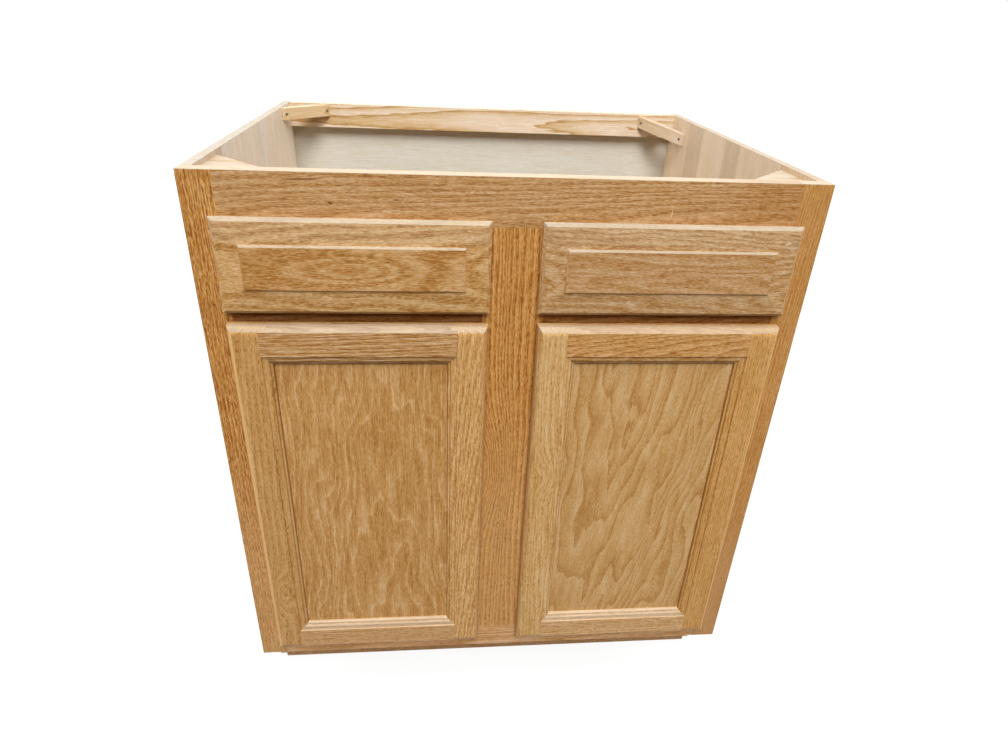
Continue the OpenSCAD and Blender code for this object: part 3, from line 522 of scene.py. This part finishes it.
# Every board of wood: which way it lies, its seed, its mean colour, and how it was cut
BOARDS = {
    "left_frame_stile": dict(
        lie=UPRIGHT, seed=1, mean=rgb(187, 133, 67), pith=(0.09, 0.05), dashes=0.9, fine=(1.28, 0.97, 0.95),
        bands=[LOW_PAINTED_LIGHT], raw_top=RAW_OAK, marks=[speck(-363.2, 715.8, 0.9, 2.5, 0.1)],
    ),
    "right_frame_stile": dict(
        lie=UPRIGHT, seed=2, mean=rgb(185, 133, 70), pith=(-0.09, 0.05), dashes=0.35, fine=(0.7, 0.6, 0.5),
        bands=[RIGHT_STILE_PAINTED_LIGHT], raw_top=RAW_OAK,
    ),
    "frame_top_rail": dict(
        lie=LEVEL, seed=3, mean=rgb(184, 139, 84), pith=(0.03, 0.05), taper=0.03, ring=4 * MM, waves=2.0,
        figure=0.35, patches=0.5, patch=(6, 120), dashes=0.8, dash=(1.2, 10.0), fine=(1.20, 0.70, 1.04),
        bands=TOP_RAIL_TONES, raw_top=RAW_OAK, marks=[
            speck(-246.6, 868.0, 26, 1.6, -0.03, 0.8, rgb(120, 74, 34)),
            speck(-216.0, 841.9, 3, 1.2, 0.3),
            speck(-141.5, 846.9, 5, 0.9, strength=0.8),
            speck(185.6, 837.2, 0.6, 6, 0.1, 0.8, SCUFF),
        ],
    ),
    "frame_bottom_rail": dict(
        lie=LEVEL, seed=4, mean=rgb(206, 157, 103), pith=(0.02, 0.05), figure=0.3, fine=(0.5, 0.5, 0.8),
        dashes=0.35,
    ),
    "frame_mullion": dict(
        lie=UPRIGHT, seed=5, mean=rgb(191, 135, 66), pith=(0.09, 0.05), ring=5 * MM, figure=0.48, dashes=0.8,
        fine=(0.95, 0.6, 0.5), eye=(-0.030, -0.018, 0.030, 0.085, 6.0), bands=[MULLION_PAINTED_LIGHT],
        marks=[speck(-5.5, 364.7, 1.1, 1.6), speck(7.9, 334.6, 1.1, 1.6)],
    ),
    # The mid rails' mean colours are darkened as painted shade of the gap between the drawer fronts and the
    # doors, the left one more
    "left_frame_mid_rail": dict(
        lie=LEVEL, seed=6, mean=rgb(130, 84, 40), pith=(0.02, 0.05), gloss=0.6, shine=0.05,
    ),
    "right_frame_mid_rail": dict(
        lie=LEVEL, seed=7, mean=rgb(144, 95, 46), pith=(0.02, 0.05), gloss=0.6, shine=0.05,
    ),
    "left_drawer_front": dict(
        lie=LEVEL, seed=8, mean=rgb(195, 150, 90), pith=(0.004, 0.05), taper=0.05, ring=7 * MM, waves=1.2,
        wave_size=(0.03, 0.03, 0.12), rings="soft", figure=0.38, eye=(0.002, -0.005, 0.018, 0.085, 3.2),
        fine=(1.20, 0.70, 0.66), bands=drawer_bands(-1, 0.15, 0.15), marks=[speck(-100.1, 732.2, 1.2, 1.0)],
    ),
    "right_drawer_front": dict(
        lie=LEVEL, seed=9, mean=rgb(190, 149, 97), lean=0.05, pith=(0.02, 0.05), ring=5 * MM, waves=4.0,
        wave_size=(0.03, 0.03, 0.15), rings="soft", fine=(1.12, 0.79, 0.66), dashes=0.5,
        bands=drawer_bands(1, 0.12, 0.15), marks=[speck(332.4, 807.3, 5, 1.4, -0.3, 0.6, SCUFF)],
    ),
    "left_door_hinge_stile": dict(
        lie=UPRIGHT, seed=10, mean=rgb(193, 146, 85), pith=(-0.03, 0.04), ring=5 * MM, figure=0.2,
        eye=(-0.004, -0.16, 0.014, 0.035, 4.0), fine=(0.55, 0.5, 0.3), dash=(1.2, 6.0),
        depth=DOOR_DEPTH, bands=[TOP_SHEEN, LEFT_EDGE_LIGHT, *upright_shade_lines(-1, HINGE_SHADE_LINES)],
    ),
    "left_door_free_stile": dict(
        lie=UPRIGHT, seed=11, mean=rgb(202, 154, 91), pith=(0.03, 0.05), taper=-0.05, fine=(0.96, 0.79, 0.66),
        dashes=0.5, depth=DOOR_DEPTH, bands=[TOP_SHEEN, *upright_shade_lines(-1, FREE_SHADE_LINES)],
    ),
    "left_door_top_rail": dict(
        lie=LEVEL, seed=12, mean=rgb(188, 143, 87), pith=(0.04, 0.05), figure=0.5, fine=(0.88, 0.88, 1.33),
        dashes=0.8, dash=(1.2, 14.0), depth=DOOR_DEPTH, bands=[TOP_SHEEN, *TOP_SHADE_LINES],
    ),
    "left_door_bottom_rail": dict(
        lie=LEVEL, seed=13, mean=rgb(196, 151, 97), pith=(0.09, 0.05), fine=(0.85, 0.7, 0.8), dashes=0.5,
        depth=DOOR_DEPTH, bands=BOTTOM_HIGHLIGHTS,
    ),
    "left_door_panel": dict(
        lie=UPRIGHT, seed=14, mean=rgb(193, 145, 84), pith=(0.028, 0.075), taper=-0.09, ring=9 * MM,
        waves=5.0, wave_size=(0.04, 0.05, 0.13), rings="light lines", figure=0.42, jag=0.3, patches=0.7,
        patch=(8, 50), fine=(0.75, 0.6, 0.6), dashes=0.25, dash=(1.2, 6.0),
    ),
    "right_door_hinge_stile": dict(
        lie=UPRIGHT, seed=15, mean=rgb(198, 148, 82), pith=(0.08, 0.05), figure=0.2, fine=(0.58, 0.48, 0.5),
        dashes=0.5, depth=DOOR_DEPTH, bands=[TOP_SHEEN, RIGHT_EDGE_LIGHT, *upright_shade_lines(1, HINGE_SHADE_LINES)],
    ),
    "right_door_free_stile": dict(
        lie=UPRIGHT, seed=16, mean=rgb(205, 161, 100), pith=(0.03, 0.05), figure=0.2,
        eye=(0.0, 0.05, 0.012, 0.03, 2.5), fine=(0.72, 0.6, 0.76), dashes=0.45,
        depth=DOOR_DEPTH, bands=[TOP_SHEEN, *upright_shade_lines(1, FREE_SHADE_LINES)],
    ),
    "right_door_top_rail": dict(
        lie=LEVEL, seed=17, mean=rgb(194, 144, 82), pith=(0.02, 0.05), taper=0.06, rings="flame", figure=0.35,
        dashes=0.5, depth=DOOR_DEPTH, bands=[TOP_SHEEN, *TOP_SHADE_LINES],
    ),
    "right_door_bottom_rail": dict(
        lie=LEVEL, seed=18, mean=rgb(203, 160, 105), pith=(0.09, 0.05), fine=(0.85, 0.7, 0.8), dashes=0.5,
        depth=DOOR_DEPTH, bands=BOTTOM_HIGHLIGHTS,
    ),
    "right_door_panel": dict(
        lie=UPRIGHT, seed=19, mean=rgb(194, 149, 89), lean=0.1, pith=(-0.045, 0.095), taper=0.09,
        ring=10 * MM, waves=5.0, wave_size=(0.035, 0.05, 0.16), rings="flame", figure=0.3, jag=0.2,
        patches=0.5, patch=(12, 60), fine=(0.72, 0.52, 0.42), dashes=0.3, dash=(1.2, 6.0),
        marks=[speck(114.5, 250.1, 1.2, 1.2), speck(104.0, 250.0, 1.0, 1.0, strength=0.5)],
    ),
    "hang_rail": dict(
        PINE, lie=LEVEL, seed=20, mean=rgb(199, 169, 124), pith=(0.01, 0.03), figure=0.8, contrast=0.85,
    ),
    "left_rear_brace": dict(
        PINE, lie=LEFT_SLANT, seed=21, mean=rgb(201, 169, 121),
        marks=[speck(x, z, 1.6, 0.6, -0.5) for x, z in ((-368.0, 859.6), (-363.0, 862.0), (-357.5, 865.0))],
    ),
    "right_rear_brace": dict(
        PINE, lie=RIGHT_SLANT, seed=22, mean=rgb(202, 178, 145),
        marks=[speck(297.0, 867.0, 1.0, 1.0), speck(300.5, 865.0, 1.0, 1.0)],
    ),
    "left_front_corner_block": dict(PINE, lie=FLAT, seed=23, mean=rgb(179, 153, 119)),
    "right_front_corner_block": dict(PINE, lie=FLAT, seed=24, mean=rgb(186, 165, 133)),
    "left_inner_cleat": dict(PINE, lie=UPRIGHT, seed=30, mean=PALE_PINE),
    "left_outer_cleat": dict(PINE, lie=UPRIGHT, seed=31, mean=PALE_PINE),
    "right_inner_cleat": dict(PINE, lie=UPRIGHT, seed=32, mean=PALE_PINE),
    "right_outer_cleat": dict(PINE, lie=UPRIGHT, seed=33, mean=PALE_PINE),
    "back_panel": dict(
        lie=LEVEL, seed=27, mean=rgb(204, 200, 186), figure=0.3, fine=(0.40, 0.79, 1.04), dashes=0.0,
        contrast=0.25, gloss=0.6, shine=0.3,
    ),
    "toe_board": dict(lie=LEVEL, seed=29, mean=rgb(190, 143, 92)),
    "frame_dowels": dict(
        lie=UPRIGHT, seed=34, mean=rgb(222, 194, 152), dashes=0.2, dash=(0.4, 3.0), contrast=0.4, gloss=0.6,
    ),
}

# Edge-glued boards, with the far edge and the tone of each strip, from front to back
WHITE = (1.0, 1.0, 1.0)
TOP_TONE = (0.58, 0.57, 0.57)
GLUED = {
    "left_side_panel": dict(
        lie=SIDEWAYS, seed=25, mean=rgb(238, 224, 202), outer=HONEY_FILM, strips=[
            (-156.5, (0.74, 0.66, 0.58)), (-100, (0.95, 0.95, 0.95)), (20, (0.99, 0.96, 0.94)),
            (90, (0.96, 0.96, 0.97)), (200, (1.0, 0.97, 0.94)), (312, WHITE),
        ],
    ),
    "right_side_panel": dict(
        lie=SIDEWAYS, seed=26, mean=rgb(238, 216, 187), outer=HONEY_FILM, strips=[
            (-175.5, (0.80, 0.73, 0.64)), (-37.5, (0.98, 0.96, 0.92)), (22, (0.82, 0.78, 0.70)),
            (126, (1.0, 0.98, 0.94)), (196, (0.84, 0.80, 0.74)), (312, (0.96, 0.93, 0.88)),
        ],
    ),
    "floor_panel": dict(
        lie=FLAT, seed=28, mean=rgb(228, 206, 178), strips=[
            (-160, (0.94, 0.92, 0.90)), (-60, WHITE), (50, (0.9, 0.86, 0.8)), (160, (0.97, 0.96, 0.93)),
            (312, (0.92, 0.9, 0.86)),
        ],
    ),
}


def soften_group(name, limit):
    """Smooth shading, except over edges sharper than the limit."""
    group = bpy.data.node_groups.new(name, "GeometryNodeTree")
    group.interface.new_socket("Geometry", in_out="INPUT", socket_type="NodeSocketGeometry")
    group.interface.new_socket("Geometry", in_out="OUTPUT", socket_type="NodeSocketGeometry")
    kinds = ("NodeGroupInput", "GeometryNodeRemoveAttribute", "GeometryNodeSetShadeSmooth",
             "GeometryNodeSetShadeSmooth", "NodeGroupOutput")
    chain = [group.nodes.new(kind) for kind in kinds]
    for before, after in zip(chain, chain[1:]):
        group.links.new(before.outputs[0], after.inputs[0])
    forget, faces, edges = chain[1:4]
    forget.inputs["Name"].default_value = "custom_normal"
    faces.domain = "FACE"
    edges.domain = "EDGE"
    angle = group.nodes.new("GeometryNodeInputMeshEdgeAngle")
    gentle = group.nodes.new("FunctionNodeCompare")
    gentle.operation = "LESS_THAN"
    gentle.inputs[1].default_value = limit
    group.links.new(angle.outputs["Unsigned Angle"], gentle.inputs[0])
    group.links.new(gentle.outputs["Result"], edges.inputs["Shade Smooth"])
    return group


def ease_edges(node, width, group):
    """Takes the sharpness off a node's edges, as a light sanding does."""
    weld = node.modifiers.new("weld", "WELD")
    weld.merge_threshold = WELD_GAP
    whole = node.modifiers.new("whole faces", "DECIMATE")
    whole.decimate_type = "DISSOLVE"
    whole.angle_limit = SAME_FACE
    ease = node.modifiers.new("ease", "BEVEL")
    ease.width = width
    ease.segments = 2
    ease.limit_method = "ANGLE"
    ease.angle_limit = EASED_ANGLE
    soften = node.modifiers.new("soften", "NODES")
    soften.node_group = group
    even = node.modifiers.new("even", "WEIGHTED_NORMAL")
    even.keep_sharp = True


def finish_nodes():
    """Gives every CAD node its material, and the boards their eased edges."""
    nickel = metal("nickel", rgb(206, 204, 200), 0.22)
    zinc = metal("zinc", rgb(196, 190, 172), 0.34)
    dull = metal("dull_steel", rgb(112, 104, 96), 0.4)
    vinyl = soft_plastic("vinyl", rgb(226, 228, 226))
    curved = soften_group("soften", SHARP_ANGLE)
    flat = soften_group("soften_flat", FLAT_ANGLE)
    for name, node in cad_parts.items():
        if name in BOARDS:
            material = wood(name + "_wood", name, **BOARDS[name])
            if name != "frame_dowels":
                front = "_door_" in name or "drawer" in name
                ease_edges(node, FINE_EASE if front else EASE, flat if "drawer" in name else curved)
        elif name in GLUED:
            material = glued_board(name + "_wood", name, **GLUED[name])
            ease_edges(node, EASE, curved)
        elif "bumper" in name:
            material = vinyl
        elif "hinge_cup" in name or "hinge_arm" in name:
            material = nickel
        elif "nail" in name or "pin" in name:
            material = dull
        else:
            material = zinc
        for slot in node.material_slots:
            slot.material = material


def add_camera():
    """A level look down at the cabinet, from the place that was fitted to the photograph."""
    forward = Vector((
        math.sin(CAMERA_YAW) * math.cos(CAMERA_PITCH),
        math.cos(CAMERA_YAW) * math.cos(CAMERA_PITCH),
        -math.sin(CAMERA_PITCH),
    ))
    level = Vector((math.cos(CAMERA_YAW), -math.sin(CAMERA_YAW), 0))
    above = level.cross(forward)
    right = level * math.cos(CAMERA_ROLL) + above * math.sin(CAMERA_ROLL)
    up = above * math.cos(CAMERA_ROLL) - level * math.sin(CAMERA_ROLL)
    data = bpy.data.cameras.new("camera")
    data.sensor_width = SENSOR_W
    data.lens = FOCAL_PX / PHOTO_W * SENSOR_W
    camera = bpy.data.objects.new("camera", data)
    turn = Matrix((right, up, -forward)).transposed().to_4x4()
    camera.matrix_world = Matrix.Translation(CAMERA_PLACE) @ turn
    SCENE.collection.objects.link(camera)
    SCENE.camera = camera


def add_lamp(name, place, target, size, power):
    """A square soft lamp at place, turned towards target."""
    data = bpy.data.lights.new(name, "AREA")
    data.size = size
    data.energy = power
    lamp = bpy.data.objects.new(name, data)
    lamp.visible_camera = False
    lamp.location = place
    lamp.rotation_euler = (Vector(target) - Vector(place)).to_track_quat("-Z", "Y").to_euler()
    SCENE.collection.objects.link(lamp)


def seen_directly(shader):
    """1 for the camera and for what mirrors and glass show of the background, 0 for light that only fills."""
    rays = ("Is Camera Ray", "Is Glossy Ray", "Is Transmission Ray")
    seen = [shader.node("ShaderNodeLightPath", output=ray) for ray in rays]
    return shader.node("ShaderNodeMath", {"operation": "MINIMUM"}, {0: seen[0] + seen[1] + seen[2], 1: 1.0})


def add_world(fill):
    """A white background that fills the scene with light at that level."""
    shader = Shader("world")
    world = bpy.data.worlds.new("studio")
    world.use_nodes = True
    shader.tree = world.node_tree
    shader.tree.nodes.clear()
    level = seen_directly(shader) * (1 - fill) + fill
    background = shader.node("ShaderNodeBackground", None, {"Color": (1, 1, 1, 1), "Strength": level})
    output = shader.tree.nodes.new("ShaderNodeOutputWorld")
    shader.tree.links.new(background.socket, output.inputs["Surface"])
    SCENE.world = world


# Half the floor's side, how far it lies under the cabinet's feet, its glow near the cabinet and the distances
# between which that turns white, and how much lamp light it shows and throws back
FLOOR_HALF = 30
FLOOR_LOW = -0.2 * MM
FLOOR_GLOW = 0.86
FLOOR_NEAR = 0.9
FLOOR_FAR = 3.5
FLOOR_SHOWN = 0.16
FLOOR_BOUNCE = 0.15


def add_floor():
    """A pale floor that shows white, keeps a light shadow near the cabinet, and throws some light back."""
    shader = Shader("floor")
    away = shader.node("ShaderNodeVectorMath", {"operation": "LENGTH"}, {0: shader.object_place()}, "Value")
    glow = away.step(FLOOR_NEAR, FLOOR_FAR, FLOOR_GLOW, 1.0)
    white = shader.node("ShaderNodeEmission", None, {"Color": (1, 1, 1, 1), "Strength": glow})
    shadow = shader.node("ShaderNodeBsdfDiffuse", None, {"Color": (*grey(FLOOR_SHOWN), 1)})
    shown = shader.node("ShaderNodeAddShader", None, {0: white, 1: shadow})
    bounce = shader.node("ShaderNodeBsdfDiffuse", None, {"Color": (*grey(FLOOR_BOUNCE), 1)})
    surface = shader.node("ShaderNodeMixShader", None, {0: seen_directly(shader), 1: bounce, 2: shown})
    shader.node_output(surface)
    signs = ((-1, -1), (1, -1), (1, 1), (-1, 1))
    corners = [(x * FLOOR_HALF, y * FLOOR_HALF, FLOOR_LOW) for x, y in signs]
    mesh = bpy.data.meshes.new("floor")
    mesh.from_pydata(corners, [], [(0, 1, 2, 3)])
    mesh.materials.append(shader.material)
    floor = bpy.data.objects.new("floor", mesh)
    SCENE.collection.objects.link(floor)


# Level of the white surroundings' light, and the lamps: name, place, target, size and power
FILL = 0.06
LAMPS = [
    ("key", (0.0, -7.0, 8.0), (0.0, -0.3, 0.3), 4.2, 1000),
    ("overhead", (0.0, -1.15, 3.1), (0.0, -0.2, 0.8), 1.1, 24),
    ("left", (-3.0, -0.3, 2.4), (0.0, 0.1, 0.7), 1.4, 48),
    ("right", (3.0, -0.3, 2.4), (0.0, 0.1, 0.7), 1.4, 48),
    ("back", (0.0, 4.2, 2.3), (0.0, 0.0, 0.8), 3.6, 160),
]

add_camera()
add_world(FILL)
for lamp_setup in LAMPS:
    add_lamp(*lamp_setup)
add_floor()
finish_nodes()
SCENE.view_settings.view_transform = "Standard"
